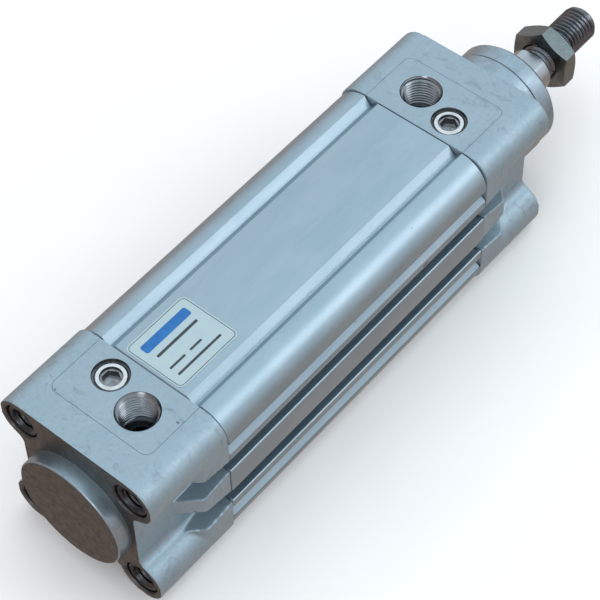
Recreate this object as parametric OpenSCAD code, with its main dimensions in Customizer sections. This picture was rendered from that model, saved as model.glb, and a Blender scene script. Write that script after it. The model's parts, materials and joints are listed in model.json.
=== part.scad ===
// Double-acting pneumatic profile cylinder: 32 mm bore, 50 mm stroke, adjustable
// cushioning at both ends, male rod thread with a lock nut. Rod shown retracted.
// Frame: X along the axis out of the rod end, Z towards the ports,
// origin on the axis at the front mounting face. Lengths in millimetres.

/* [Barrel] */
// Width and height of the square section
body_w = 45; // [44:0.5:47]
// Outer corner radius of the barrel
corner_r = 7.8; // [6:0.1:9]
// Cylinder bore diameter
bore_d = 32; // [31:0.5:33]
// Piston stroke
stroke = 50; // [25:5:100]
// Half distance from the middle to the near edge of a V groove
groove_in = 10.7; // [10:0.1:11.5]
// Half distance from the middle to the far edge of a V groove
groove_out = 14.9; // [14:0.1:15.5]
// Depth of the V grooves
groove_depth = 2.2; // [1:0.1:2.5]
// Near edge of a sensor slot mouth
slot_in = 4.1; // [3.5:0.1:5]
// Far edge of a sensor slot mouth
slot_out = 8.3; // [7.5:0.1:9]
// Depth of the sensor slots
slot_depth = 4.5; // [3:0.1:5]
// Thickness of the lips over a sensor slot
slot_lip = 1.3; // [0.8:0.1:2]
// How far a sensor slot widens under its lips
slot_undercut = 0.8; // [0.4:0.1:1.2]

/* [Caps] */
// Length of each cap outside the barrel
cap_len = 25; // [22:0.5:30]
// Length of each cap's plug inside the barrel
plug_len = 9; // [6:0.5:12]
// Radial gap between plug and bore
plug_gap = 0.1; // [0.05:0.05:0.3]
// Radius of the corner bosses
boss_r = 6.25; // [5.5:0.25:7]
// Half distance from the axis to the floor of the side recesses
recess_y = 16.5; // [15.5:0.1:18]
// Fillet between a boss and the recess floor
boss_fillet = 3; // [1:0.5:4]
// Length of the full-width flange against the barrel
flange_len = 8.4; // [6:0.2:10]
// Length of the slope behind the flange
ramp_len = 5.3; // [3:0.1:7]
// Half width of the middle bar at the barrel
bar_root = 4; // [3:0.1:5]
// Half width of the middle bar at its end
bar_tip = 2.5; // [2:0.1:3.5]
// Collar diameter at the front and spigot diameter at the rear
collar_d = 30; // [29:0.5:31]
// Length of the guide part of the front collar
collar_base = 10; // [8:0.5:12]
// Whole length of the front collar
collar_len = 16; // [14:0.5:18]
// Length of the rear spigot
spigot_len = 4; // [3:0.5:5]

/* [Ports and cushioning] */
// Distance of a port from its mounting face
port_x = 15.6; // [13:0.1:18]
// Sideways distance of a port from the middle
port_y = 5; // [4:0.1:7]
// Thread core diameter of a port
port_d = 8.56; // [8.4:0.02:8.9]
// Port rim diameter
port_rim_d = 10.4; // [9.8:0.1:11]
// Depth of a port
port_depth = 10; // [8:0.5:11]
// Distance from a port to its cushion screw along the axis
cushion_dx = 3.4; // [2.5:0.1:5]
// Sideways distance of a cushion screw from the middle
cushion_y = 6.1; // [5:0.1:7]
// Diameter of the ring recess round a cushion screw
cushion_rim_d = 8.9; // [8.5:0.1:9.5]
// Head diameter of a cushion screw
cushion_head_d = 7.7; // [7:0.1:8]
// Thread diameter of a cushion screw
cushion_thread_d = 6; // [5:0.5:6]
// Cushion chamber diameter
chamber_d = 19.2; // [19:0.1:20]
// Cushion sleeve diameter
sleeve_d = 18; // [17:0.1:18.5]
// Cushion sleeve length
sleeve_len = 20; // [15:0.5:20]

/* [Fasteners] */
// Distance between the cap screws
screw_pitch = 32.5; // [32:0.5:33]
// Head diameter of a cap screw
screw_head_d = 9.2; // [8.5:0.1:9.6]
// Length of a cap screw head
screw_head_len = 16.4; // [14:0.1:17]
// Core diameter of the thread inside a cap screw head
screw_core_d = 5.2; // [4.9:0.1:5.4]
// Depth of the thread inside a cap screw head
screw_core_len = 14; // [10:0.5:15]
// Socket width of a cap screw
screw_socket_af = 4; // [3:0.5:4.5]
// Shank diameter of a cap screw
screw_shank_d = 6; // [5:0.5:6.5]
// Length of a cap screw shank inside the barrel
screw_grip = 12; // [8:0.5:20]

/* [Rod] */
// Piston rod diameter
rod_d = 12; // [11.5:0.5:12.5]
// Distance from the mounting face to the rod shoulder, retracted
rod_shoulder = 26; // [24:0.5:28]
// Rod thread diameter
thread_d = 10; // [8:0.5:10]
// Rod thread length
thread_len = 22; // [20:0.5:24]
// Width across the wrench flats
flat_af = 10; // [9:0.5:11]
// Length of the wrench flats
flat_len = 8; // [5:0.5:9]
// Lock nut width across flats
nut_af = 16; // [15:0.5:17]
// Lock nut thickness
nut_t = 5; // [4:0.5:6]
// Gap between the rod shoulder and the nut
nut_gap = 2.8; // [2.5:0.1:8]
// Turn of the nut about the rod, in degrees
nut_turn = 28; // [0:1:60]

/* [Piston] */
// Piston length
piston_len = 23.9; // [22:0.1:24]
// Piston body diameter
piston_d = 31.2; // [31:0.1:31.5]
// Gap between the sliding rings and the bore
ring_gap = 0.05; // [0.03:0.01:0.1]
// Diameter of the rod end inside the piston
rod_end_d = 8; // [7:0.5:9]
// Width across flats of the piston nut
piston_nut_af = 13; // [11:0.5:14]
// Thickness of the piston nut
piston_nut_t = 6.5; // [5:0.5:8]

/* [Label] */
// Label length along the axis
label_len = 19.6; // [15:0.1:30]
// Label width
label_w = 17; // [14:0.5:20]
// Label film thickness
label_t = 0.12; // [0.1:0.01:0.3]
// Corner radius of the label
label_r = 1.5; // [0.5:0.1:3]

/* [Hidden] */
$fn = 96;
eps = 0.01;
half = body_w / 2;
bore_r = bore_d / 2;
barrel_len = stroke + 44;
x_front = -cap_len;
x_rear = x_front - barrel_len;
x_back = x_rear - cap_len;
sp = screw_pitch / 2;
recess_in = 16.8;
plug_r = bore_r - plug_gap;
chamber_r = chamber_d / 2;
sleeve_r = sleeve_d / 2;
rod_r = rod_d / 2;
// the plug O-ring groove
plug_seal_a = 3;
plug_seal_w = 2.5;
plug_seal_r = 14.1;
// the cushion seal seat at the mouth of a chamber
cseal_a = 1;
cseal_w = 3.2;
cseal_r = 12;
buffer_t = 1;
slide_gap = 0.05;
chamber_end = 12;
// the collar's nose is turned down behind a thin groove
collar_step = 0.25;
collar_groove = 0.4;
nose_r = collar_d / 2 - collar_step;
nose_chamfer = 1.2;
// the piston at rest sits just off the rear buffer
p0 = x_rear + plug_len + buffer_t + slide_gap;
p1 = p0 + piston_len;
pm = (p0 + p1) / 2;
ring_r = bore_r - ring_gap;
// grooves of the piston rings, measured from its middle
lip_a = 6;
lip_w = 3.5;
lip_r = 12.4;
guide_w = 7;
guide_r = 14.9;
magnet_w = 5;
magnet_ri = 9.5;
magnet_ro = 13.5;
oring_w = 1.9;
oring_seat_r = 5.85;
run = 0.06;
bearing_len = 18;
bearing_ro = 7.5;
wiper_ro = 9.5;
wiper_len = 7.5;
// cushion screw levels, up from the axis
head_top = 21.9;
head_len = 5;
neck_floor = 14.5;
thread_end = 12;
needle_tip = 9.9;
ring_lo = 18.4;
ring_hi = 19.6;
cring_r = 2.85;
cushion_bore_r = cushion_head_d / 2 + 0.05;

// local X, Y, Z become Y, Z, X, starting at the given X
module along(x0) { translate([x0, 0, 0]) rotate([90, 0, 90]) children(); }
module rod_x(xa, xb, r) { along(xa) cylinder(r = r, h = xb - xa); }
module cone_x(xa, xb, ra, rb) { along(xa) cylinder(r1 = ra, r2 = rb, h = xb - xa); }
module ring_x(xa, xb, ri, ro) {
    difference() {
        rod_x(xa, xb, ro);
        rod_x(xa - 1, xb + 1, ri);
    }
}
// a ring of round section about the axis
module oring_x(xc, rm, rc) { along(xc) rotate_extrude() translate([rm, 0]) circle(r = rc); }
module round_square(h, r) {
    square([2 * h, 2 * (h - r)], center = true);
    square([2 * (h - r), 2 * h], center = true);
    for (i = [-1, 1], j = [-1, 1]) translate([i * (h - r), j * (h - r)]) circle(r = r);
}
module four() { for (i = [-1, 1], j = [-1, 1]) translate([i * sp, j * sp]) children(); }

// ---- barrel ----
module v_groove() {
    mid = (groove_in + groove_out) / 2;
    polygon([[groove_in, half + eps], [groove_in, half], [mid, half - groove_depth],
        [groove_out, half], [groove_out, half + eps]]);
}
module sensor_slot() {
    d = slot_depth;
    polygon([[half + 1, slot_in], [half + 1, slot_out], [half - slot_lip, slot_out],
        [half - slot_lip, slot_out + slot_undercut], [half - d, slot_out + slot_undercut],
        [half - d, slot_in - slot_undercut], [half - slot_lip, slot_in - slot_undercut],
        [half - slot_lip, slot_in]]);
}
module barrel_section() {
    difference() {
        round_square(half, corner_r);
        for (a = [0:90:270]) rotate(a) {
            v_groove();
            mirror([1, 0]) v_groove();
        }
        for (a = [0, 180]) rotate(a) {
            sensor_slot();
            mirror([0, 1]) sensor_slot();
        }
        four() circle(d = screw_shank_d);
        circle(r = bore_r);
    }
}
module barrel() {
    color("#a9b9c4") along(x_rear) linear_extrude(height = barrel_len) barrel_section();
}

// ---- caps, drawn with the mounting face at 0 and the barrel at cap_len ----
module boss_blend() {
    f = boss_fillet;
    dy = recess_y + f - sp;
    dz = sqrt((boss_r + f) * (boss_r + f) - dy * dy);
    fy = sp + dy;
    fz = sp - dz;
    k = boss_r / (boss_r + f);
    difference() {
        polygon([[sp, sp], [sp + dy * k, sp - dz * k], [fy, fz], [recess_y, fz], [sp, fz]]);
        translate([fy, fz]) circle(r = f);
    }
}
module cap_section() {
    square([2 * recess_y, 2 * recess_y], center = true);
    translate([-sp, 0]) square([2 * sp, half]);
    four() circle(r = boss_r);
    for (i = [0, 1], j = [0, 1]) mirror([i, 0]) mirror([0, j]) boss_blend();
    for (i = [0, 1]) mirror([i, 0]) mirror([0, 1]) mirror([1, -1]) boss_blend();
}
module flange_side() {
    a = cap_len - flange_len - ramp_len;
    b = cap_len - flange_len;
    polygon([[a, 0], [a, recess_in], [b, half + eps], [cap_len, half + eps], [cap_len, 0]]);
}
module flange_ramp() {
    linear_extrude(height = 100, center = true) {
        flange_side();
        mirror([0, 1]) flange_side();
    }
}
module flange() {
    a = cap_len - flange_len - ramp_len;
    intersection() {
        along(a) linear_extrude(height = cap_len - a) round_square(half, corner_r);
        flange_ramp();
        union() {
            translate([a, -half, 0]) cube([cap_len - a, body_w, half]);
            rotate([90, 0, 0]) linear_extrude(height = 100, center = true) mirror([0, 1]) flange_side();
        }
    }
}
module side_gap() {
    a = cap_len - flange_len - ramp_len;
    difference() {
        translate([0, half + recess_in, 0]) rotate([90, 0, 0])
            linear_extrude(height = half) polygon([[a - 1, -10.6], [a - 1, 10.6],
                [cap_len + 1, 8.4], [cap_len + 1, -8.4]]);
        intersection() {
            rotate([90, 0, 0]) linear_extrude(height = 100, center = true)
                polygon([[a, -bar_tip], [a, bar_tip], [a + ramp_len, bar_tip + 0.1],
                    [cap_len, bar_root], [cap_len + 2, bar_root], [cap_len + 2, -bar_root],
                    [cap_len, -bar_root], [a + ramp_len, -bar_tip - 0.1]]);
            linear_extrude(height = 30, center = true)
                polygon([[a, 0], [a, recess_in], [a + ramp_len, half - 0.2],
                    [cap_len + 2, half - 0.2], [cap_len + 2, 0]]);
        }
    }
}
module port_hole() {
    translate([port_x, -port_y, 0]) {
        translate([0, 0, half - port_depth]) cylinder(d = port_d, h = port_depth + 1);
        translate([0, 0, half - 0.9]) cylinder(d1 = port_d, d2 = port_rim_d, h = 0.9);
        translate([0, 0, 5]) cylinder(r = 2.8, h = half - port_depth - 4);
    }
}
module adjuster_hole() {
    translate([port_x + cushion_dx, cushion_y, 0]) {
        translate([0, 0, half - 0.8]) cylinder(d = cushion_rim_d, h = 2);
        translate([0, 0, neck_floor]) cylinder(r = cushion_bore_r, h = half - neck_floor);
        translate([0, 0, 11]) cylinder(d = cushion_thread_d + 0.1, h = 4);
        translate([0, 0, 4]) cylinder(r = 1.2, h = 8);
    }
}
module screw_holes() {
    for (i = [-1, 1], j = [-1, 1]) translate([0, i * sp, j * sp]) {
        rod_x(-1, 17, screw_head_d / 2 + 0.05);
        rod_x(16, cap_len + 1, screw_shank_d / 2 + 0.05);
    }
}
module cap_solid() {
    difference() {
        union() {
            along(0) linear_extrude(height = cap_len) cap_section();
            difference() {
                flange();
                side_gap();
                mirror([0, 1, 0]) side_gap();
            }
            rod_x(cap_len - 1, cap_len + plug_len, plug_r);
        }
        s = cap_len + plug_seal_a;
        ring_x(s, s + plug_seal_w, plug_seal_r, bore_r + 2);
        e = cap_len + plug_len;
        rod_x(e - cseal_a - cseal_w, e - cseal_a, cseal_r);
        rod_x(chamber_end, e + 1, chamber_r);
        port_hole();
        adjuster_hole();
        screw_holes();
    }
}
module rear_cap() {
    color("#9fb0bb") translate([x_back, 0, 0]) {
        cap_solid();
        cone_x(-spigot_len, -spigot_len + 0.8, collar_d / 2 - 0.8, collar_d / 2);
        rod_x(-spigot_len + 0.8, 1, collar_d / 2);
    }
}
module front_cap() {
    color("#9fb0bb") difference() {
        union() {
            rotate([0, 0, 180]) cap_solid();
            rod_x(-1, collar_base, collar_d / 2);
            rod_x(collar_base, collar_base + collar_groove, nose_r - collar_step);
            rod_x(collar_base + collar_groove, collar_len - nose_chamfer, nose_r);
            cone_x(collar_len - nose_chamfer, collar_len, nose_r, nose_r - nose_chamfer);
        }
        rod_x(-chamber_end - 1, bearing_len - chamber_end, bearing_ro);
        rod_x(0, collar_len, rod_r + 0.6);
        rod_x(collar_len - wiper_len, collar_len + 1, wiper_ro);
    }
}

// ---- cap screws, drawn from the mounting face inwards ----
module cap_screw() {
    r = screw_head_d / 2;
    difference() {
        union() {
            cone_x(0.6, 1, r - 0.4, r);
            rod_x(1, 17, r);
            rod_x(17, cap_len + screw_grip - 0.8, screw_shank_d / 2);
            cone_x(cap_len + screw_grip - 0.8, cap_len + screw_grip, screw_shank_d / 2, 2.2);
        }
        cone_x(0.5, 1.2, screw_core_d / 2 + 0.7, screw_core_d / 2);
        rod_x(0.5, 0.6 + screw_core_len, screw_core_d / 2);
        along(0.5 + screw_core_len)
            cylinder(r = screw_socket_af / 2 / cos(30), h = 1.8, $fn = 6);
    }
}
module rear_cap_screws() {
    color("#4a4d50") for (i = [-1, 1], j = [-1, 1]) translate([x_back, i * sp, j * sp]) cap_screw();
}
module front_cap_screws() {
    color("#4a4d50") for (i = [-1, 1], j = [-1, 1])
        translate([0, i * sp, j * sp]) rotate([0, 0, 180]) cap_screw();
}

// ---- fixed seals, buffers, bearing, label ----
module barrel_seal(xc) {
    rc = (ring_r + 0.02 - plug_seal_r) / 2;
    oring_x(xc, plug_seal_r + 0.01 + rc, rc - 0.02);
}
module rear_barrel_seal() {
    color("#1d1d1d") barrel_seal(x_rear + plug_seal_a + plug_seal_w / 2);
}
module front_barrel_seal() {
    color("#1d1d1d") barrel_seal(x_front - plug_seal_a - plug_seal_w / 2);
}
module cushion_seal() {
    difference() {
        rod_x(0.02, cseal_w - 0.02, cseal_r - 0.02);
        rod_x(-1, cseal_w + 1, sleeve_r + 0.4);
    }
    difference() {
        rod_x(1.4, 2.2, cseal_r - 1);
        rod_x(-1, cseal_w + 1, sleeve_r + run);
    }
}
module rear_cushion_seal() {
    color("#2f5d3a") translate([x_rear + plug_len - cseal_a - cseal_w, 0, 0]) cushion_seal();
}
module front_cushion_seal() {
    color("#2f5d3a") translate([x_front - plug_len + cseal_a, 0, 0]) cushion_seal();
}
module buffer(xa) { ring_x(xa, xa + buffer_t, cseal_r + 0.5, plug_r - 0.6); }
module rear_buffer() { color("#26282a") buffer(x_rear + plug_len); }
module front_buffer() { color("#26282a") buffer(x_front - plug_len - buffer_t); }
module rod_bearing() {
    color("#9a8660") ring_x(-chamber_end, bearing_len - chamber_end, rod_r + run, bearing_ro);
}
module rod_wiper() {
    a = collar_len - wiper_len;
    color("#3c5a4a") {
        ring_x(a + 0.02, a + 3, rod_r + run, wiper_ro - 0.02);
        ring_x(a + 3, collar_len - 1.5, rod_r + 1, wiper_ro - 0.02);
        difference() {
            cone_x(collar_len - 1.5, collar_len + 0.6, wiper_ro - 0.02, rod_r + 0.6);
            rod_x(collar_len - 2, collar_len + 1, rod_r + run);
        }
    }
}
module label_film() {
    xa = x_rear + 0.8;
    x1 = xa + label_r;
    x2 = xa + label_len - label_r;
    w = label_w / 2;
    color("#c3d3d2") translate([0, 0, half]) linear_extrude(height = label_t) {
        translate([x1, -w]) square([x2 - x1, label_w]);
        translate([xa, -w + label_r]) square([label_len, label_w - 2 * label_r]);
        for (x = [x1, x2], s = [-1, 1]) translate([x, s * (w - label_r)]) circle(r = label_r);
    }
}

// ---- cushion adjusting screws ----
module adjuster() {
    r = cushion_head_d / 2;
    tr = cushion_thread_d / 2;
    difference() {
        union() {
            translate([0, 0, thread_end]) cylinder(r = tr, h = head_top - head_len - thread_end + eps);
            translate([0, 0, head_top - head_len]) cylinder(r = r, h = head_len - 0.3);
            translate([0, 0, head_top - 0.3]) cylinder(r1 = r, r2 = r - 0.3, h = 0.3);
            translate([0, 0, needle_tip]) cylinder(r1 = 0.35, r2 = 0.9, h = thread_end - needle_tip + eps);
        }
        difference() {
            translate([0, 0, ring_lo]) cylinder(r = r + 1, h = ring_hi - ring_lo);
            translate([0, 0, ring_lo - 1]) cylinder(r = cring_r, h = 5);
        }
        translate([0, 0, head_top - 0.7]) cylinder(r1 = 2.5, r2 = 2.75, h = 0.8);
        translate([0, 0, head_top - 2.6]) cylinder(r = 2 / cos(30), h = 3, $fn = 6);
    }
}
module adjuster_ring() {
    zc = (ring_lo + ring_hi) / 2;
    ri = cring_r + 0.05;
    ro = cushion_head_d / 2 - 0.01;
    translate([0, 0, zc]) rotate_extrude() translate([(ri + ro) / 2, 0]) circle(r = (ro - ri) / 2);
}
module at_rear_adjuster() { translate([x_back + port_x + cushion_dx, cushion_y, 0]) children(); }
module at_front_adjuster() { translate([-port_x - cushion_dx, -cushion_y, 0]) children(); }
module rear_adjuster() { color("#c8ccd0") at_rear_adjuster() adjuster(); }
module front_adjuster() { color("#c8ccd0") at_front_adjuster() adjuster(); }
module rear_adjuster_ring() { color("#1d1d1d") at_rear_adjuster() adjuster_ring(); }
module front_adjuster_ring() { color("#1d1d1d") at_front_adjuster() adjuster_ring(); }

// ---- piston, drawn about its own middle ----
module piston_bores() {
    ring_x(-guide_w / 2, guide_w / 2, guide_r, piston_d);
    for (s = [-1, 1]) mirror([s > 0 ? 0 : 1, 0, 0]) ring_x(lip_a, lip_a + lip_w, lip_r, piston_d);
    ring_x(-magnet_w / 2, magnet_w / 2, magnet_ri, magnet_ro);
    rod_x(-piston_len, piston_len, rod_end_d / 2);
    rod_x(-oring_w, 0, oring_seat_r);
}
module piston_rear_half() {
    color("#b9bdc0") difference() {
        rod_x(p0, pm, piston_d / 2);
        translate([pm, 0, 0]) piston_bores();
    }
}
module piston_front_half() {
    color("#b9bdc0") difference() {
        rod_x(pm, p1, piston_d / 2);
        translate([pm, 0, 0]) piston_bores();
    }
}
module piston_magnet() {
    color("#3b3b3d") ring_x(pm - magnet_w / 2, pm + magnet_w / 2, magnet_ri, magnet_ro);
}
module piston_oring() {
    rc = (oring_seat_r - rod_end_d / 2) / 2 - 0.02;
    color("#1d1d1d") oring_x(pm - oring_w / 2, (oring_seat_r + rod_end_d / 2) / 2, rc);
}
// a lip seal: a base ring and two lips, the outer one against the bore
module lip_seal() {
    a = lip_a + 0.1;
    b = lip_a + lip_w - 0.1;
    ring_x(a, a + 1.4, lip_r + run, ring_r - 0.6);
    ring_x(a + 1.3, b, lip_r + run, lip_r + 1.1);
    difference() {
        union() {
            cone_x(a + 1.3, b - 0.6, ring_r - 0.6, ring_r);
            rod_x(b - 0.6, b, ring_r);
        }
        rod_x(a, b + 1, ring_r - 1.6);
    }
}
module piston_front_seal() { color("#27332c") translate([pm, 0, 0]) lip_seal(); }
module piston_rear_seal() { color("#27332c") translate([pm, 0, 0]) mirror([1, 0, 0]) lip_seal(); }
module piston_guide_ring() {
    color("#3a3f45") ring_x(pm - guide_w / 2 + 0.1, pm + guide_w / 2 - 0.1, guide_r + run, ring_r);
}

// ---- rod and what is on it ----
module piston_rod() {
    tip = rod_shoulder + thread_len;
    tr = thread_d / 2;
    end = p0 - piston_nut_t - 1;
    color("#8b9096") {
        difference() {
            union() {
                rod_x(p1, rod_shoulder - 0.5, rod_r);
                cone_x(rod_shoulder - 0.5, rod_shoulder, rod_r, rod_r - 0.5);
            }
            for (s = [-1, 1]) translate([rod_shoulder - flat_len, -10, s > 0 ? flat_af / 2 : -flat_af / 2 - 5])
                cube([flat_len + 1, 20, 5]);
        }
        rod_x(rod_shoulder - 1, tip - 1, tr);
        cone_x(tip - 1, tip, tr, tr - 1);
        rod_x(end + 0.6, p1 + 1, rod_end_d / 2);
        cone_x(end, end + 0.6, rod_end_d / 2 - 0.6, rod_end_d / 2);
    }
}
module front_cushion_sleeve() {
    color("#a4a8ac") difference() {
        union() {
            rod_x(p1, p1 + sleeve_len - 2, sleeve_r);
            cone_x(p1 + sleeve_len - 2, p1 + sleeve_len, sleeve_r, sleeve_r - 0.8);
        }
        rod_x(p1 - 1, p1 + sleeve_len + 1, rod_r);
    }
}
module rear_cushion_sleeve() {
    color("#a4a8ac") difference() {
        union() {
            rod_x(p0 - sleeve_len + 2, p0, sleeve_r);
            cone_x(p0 - sleeve_len, p0 - sleeve_len + 2, sleeve_r - 0.8, sleeve_r);
        }
        rod_x(p0 - piston_nut_t - 2, p0 + 1, 8.1);
    }
}
module hex_x(xa, xb, af) { along(xa) cylinder(r = af / 2 / cos(30), h = xb - xa, $fn = 6); }
module piston_nut() {
    color("#9a9c90") difference() {
        hex_x(p0 - piston_nut_t, p0, piston_nut_af);
        rod_x(p0 - piston_nut_t - 1, p0 + 1, rod_end_d / 2);
    }
}
module rod_nut() {
    xa = rod_shoulder + nut_gap;
    xb = xa + nut_t;
    ro = nut_af / 2 / cos(30);
    ch = 0.75;
    br = thread_d / 2 + 0.05;
    color("#7d8478") difference() {
        intersection() {
            rotate([nut_turn, 0, 0]) hex_x(xa, xb, nut_af);
            union() {
                cone_x(xa, xa + ch, ro - 1.3, ro + 0.1);
                rod_x(xa + ch, xb - ch, ro + 0.1);
                cone_x(xb - ch, xb, ro + 0.1, ro - 1.3);
            }
        }
        rod_x(xa - 1, xb + 1, br);
        cone_x(xa - eps, xa + 0.5, br + 0.5, br);
        cone_x(xb - 0.5, xb + eps, br, br + 0.5);
    }
}

barrel();
front_cap();
rear_cap();
front_cap_screws();
rear_cap_screws();
front_barrel_seal();
rear_barrel_seal();
rod_bearing();
rod_wiper();
front_cushion_seal();
rear_cushion_seal();
front_buffer();
rear_buffer();
label_film();
front_adjuster();
rear_adjuster();
front_adjuster_ring();
rear_adjuster_ring();
piston_front_seal();
piston_rear_seal();
piston_guide_ring();
piston_rod();
piston_front_half();
piston_rear_half();
piston_magnet();
piston_oring();
front_cushion_sleeve();
rear_cushion_sleeve();
piston_nut();
rod_nut();
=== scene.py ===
"""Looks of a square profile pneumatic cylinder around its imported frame.

Metres, +X along the axis out of the rod end, +Z towards the ports, origin on the axis at the
front mounting face. Millimetre values are written as numbers times MM.
"""
import json
import math

import bmesh
import bpy
import numpy as np
from mathutils import Matrix, Vector


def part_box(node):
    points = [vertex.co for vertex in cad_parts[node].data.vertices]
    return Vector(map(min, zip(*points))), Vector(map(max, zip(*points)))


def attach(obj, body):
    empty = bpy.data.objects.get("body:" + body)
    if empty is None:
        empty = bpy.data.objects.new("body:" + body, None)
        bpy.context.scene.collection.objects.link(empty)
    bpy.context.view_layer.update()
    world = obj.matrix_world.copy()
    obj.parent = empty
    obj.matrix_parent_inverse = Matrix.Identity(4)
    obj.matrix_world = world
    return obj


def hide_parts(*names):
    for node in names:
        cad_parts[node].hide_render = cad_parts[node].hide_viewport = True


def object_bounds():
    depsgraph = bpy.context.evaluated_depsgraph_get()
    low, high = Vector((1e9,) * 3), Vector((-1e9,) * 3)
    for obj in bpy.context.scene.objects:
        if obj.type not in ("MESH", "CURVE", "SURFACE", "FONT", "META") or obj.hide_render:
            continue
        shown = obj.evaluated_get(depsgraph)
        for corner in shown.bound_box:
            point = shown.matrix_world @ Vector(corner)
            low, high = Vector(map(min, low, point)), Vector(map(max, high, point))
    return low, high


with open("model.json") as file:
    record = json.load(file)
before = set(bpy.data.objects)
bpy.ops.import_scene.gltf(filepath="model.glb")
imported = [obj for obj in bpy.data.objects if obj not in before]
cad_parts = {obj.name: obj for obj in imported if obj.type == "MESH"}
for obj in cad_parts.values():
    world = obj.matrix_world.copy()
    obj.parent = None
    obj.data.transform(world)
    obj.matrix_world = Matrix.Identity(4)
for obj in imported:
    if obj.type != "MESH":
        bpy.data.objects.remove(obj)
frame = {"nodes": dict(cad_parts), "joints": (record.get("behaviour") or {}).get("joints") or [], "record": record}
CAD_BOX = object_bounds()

MM = 0.001
TAU = 2 * math.pi

# ---- sizes read from the frame ----
MOUNTS = {m["name"]: m for m in frame["record"]["mounts"]}
JOINTS = {j["name"]: j for j in frame["joints"]}
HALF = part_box("barrel")[1].z
X_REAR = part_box("barrel")[0].x
X_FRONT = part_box("barrel")[1].x
X_BACK = X_REAR + X_FRONT
SCREW = MOUNTS["rear_screw_threads"]["dims"]["spacing_x_mm"] * MM / 2
SCREW_SPOTS = [(y, z) for y in (-SCREW, SCREW) for z in (-SCREW, SCREW)]
CAP = -X_FRONT
COLLAR_R = MOUNTS["front_collar"]["dims"]["r_mm"] * MM
COLLAR_LEN = MOUNTS["front_collar"]["dims"]["length_mm"] * MM
PORT = Vector(MOUNTS["rear_port"]["pos_m"]) - Vector((X_BACK, 0, 0))
ADJUSTER = Vector(JOINTS["rear_adjuster_turn"]["pos_m"]) - Vector((X_BACK, 0, 0))
ADJUSTER_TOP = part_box("rear_adjuster")[1].z
ROD_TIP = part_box("piston_rod")[1].x
THREAD_R = MOUNTS["rod_thread"]["dims"]["r_mm"] * MM
THREAD_START = ROD_TIP - 22 * MM
TAP_CORE_R = MOUNTS["rear_screw_threads"]["dims"]["hole_r_mm"] * MM

# cap coordinates have the mounting face at 0 and the barrel at +CAP
REAR_CAP = Matrix.Translation((X_BACK, 0, 0))
FRONT_CAP = Matrix.Rotation(math.pi, 4, "Z")
# turns a shape drawn along +Z so that it lies along +X
ALONG_X = Matrix(((0, 0, 1, 0), (1, 0, 0, 0), (0, 1, 0, 0), (0, 0, 0, 1)))


def along_x(x, y=0, z=0):
    """The placement that lays a shape drawn along +Z on a line along +X through a point."""
    return Matrix.Translation((x, y, z)) @ ALONG_X


# ---- mesh helpers ----
def linked(name, data):
    """A new object for a mesh, lamp or camera, in the scene."""
    made = bpy.data.objects.new(name, data)
    bpy.context.scene.collection.objects.link(made)
    return made


def mesh_of(name, points, faces, merge=1e-7):
    """A mesh from points and faces, welded and with its normals pointing out."""
    mesh = bpy.data.meshes.new(name)
    mesh.from_pydata([tuple(p) for p in points], [], faces)
    work = bmesh.new()
    work.from_mesh(mesh)
    bmesh.ops.remove_doubles(work, verts=work.verts, dist=merge)
    bmesh.ops.dissolve_degenerate(work, dist=merge, edges=work.edges)
    bmesh.ops.recalc_face_normals(work, faces=work.faces)
    work.to_mesh(mesh)
    work.free()
    return mesh


def loft(rings, close=False):
    """Faces between rings of equal point counts. With close, each end ring gets a face too."""
    count = len(rings[0])
    points = [p for ring in rings for p in ring]
    faces = []
    for row in range(len(rings) - 1):
        for i in range(count):
            j = (i + 1) % count
            a, b = row * count + i, row * count + j
            faces.append((a, b, b + count, a + count))
    if close:
        last = (len(rings) - 1) * count
        faces.append(tuple(range(count - 1, -1, -1)))
        faces.append(tuple(range(last, last + count)))
    return points, faces


def circle(radius, height, turns, matrix):
    """Points of a circle about local Z."""
    angles = [TAU * i / turns for i in range(turns)]
    return [matrix @ Vector((radius * math.cos(a), radius * math.sin(a), height)) for a in angles]


def lathe(name, profile, matrix=Matrix(), turns=96):
    """A solid of revolution about local Z. profile is (height, radius) pairs, closed on itself
    where it doesn't start and end on the axis."""
    on_axis = profile[0][1] == 0
    outline = profile if on_axis else profile + [profile[0]]
    return mesh_of(name, *loft([circle(radius, height, turns, matrix) for height, radius in outline]))


def cylinder(low, high, radius, matrix=Matrix(), turns=96):
    return lathe("cylinder", [(low, 0), (low, radius), (high, radius), (high, 0)], matrix, turns)


def packed(node):
    """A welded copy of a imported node's mesh."""
    mesh = frame["nodes"][node].data.copy()
    work = bmesh.new()
    work.from_mesh(mesh)
    bmesh.ops.remove_doubles(work, verts=work.verts, dist=1e-7)
    work.to_mesh(mesh)
    work.free()
    return mesh


def evaluated(name, target, *helpers):
    """The mesh of target after its modifiers. target and the helpers are removed."""
    bpy.context.view_layer.update()
    graph = bpy.context.evaluated_depsgraph_get()
    made = bpy.data.meshes.new_from_object(target.evaluated_get(graph))
    for used in (target, *helpers):
        bpy.data.objects.remove(used)
    made.name = name
    return made


def combine(name, base, tools, operation):
    """base with each tool mesh united with it or cut away, as a new mesh."""
    target = linked(name, base)
    helpers = [linked("tool", tool) for tool in tools]
    for helper in helpers:
        step = target.modifiers.new("step", "BOOLEAN")
        step.operation, step.solver, step.object = operation, "MANIFOLD", helper
    return evaluated(name, target, *helpers)


def modified(name, base, *settings):
    """base after modifiers, each given as (type, {setting: value})."""
    target = linked(name, base)
    for kind, values in settings:
        step = target.modifiers.new(kind, kind)
        for key, value in values.items():
            setattr(step, key, value)
    return evaluated(name, target)


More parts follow.
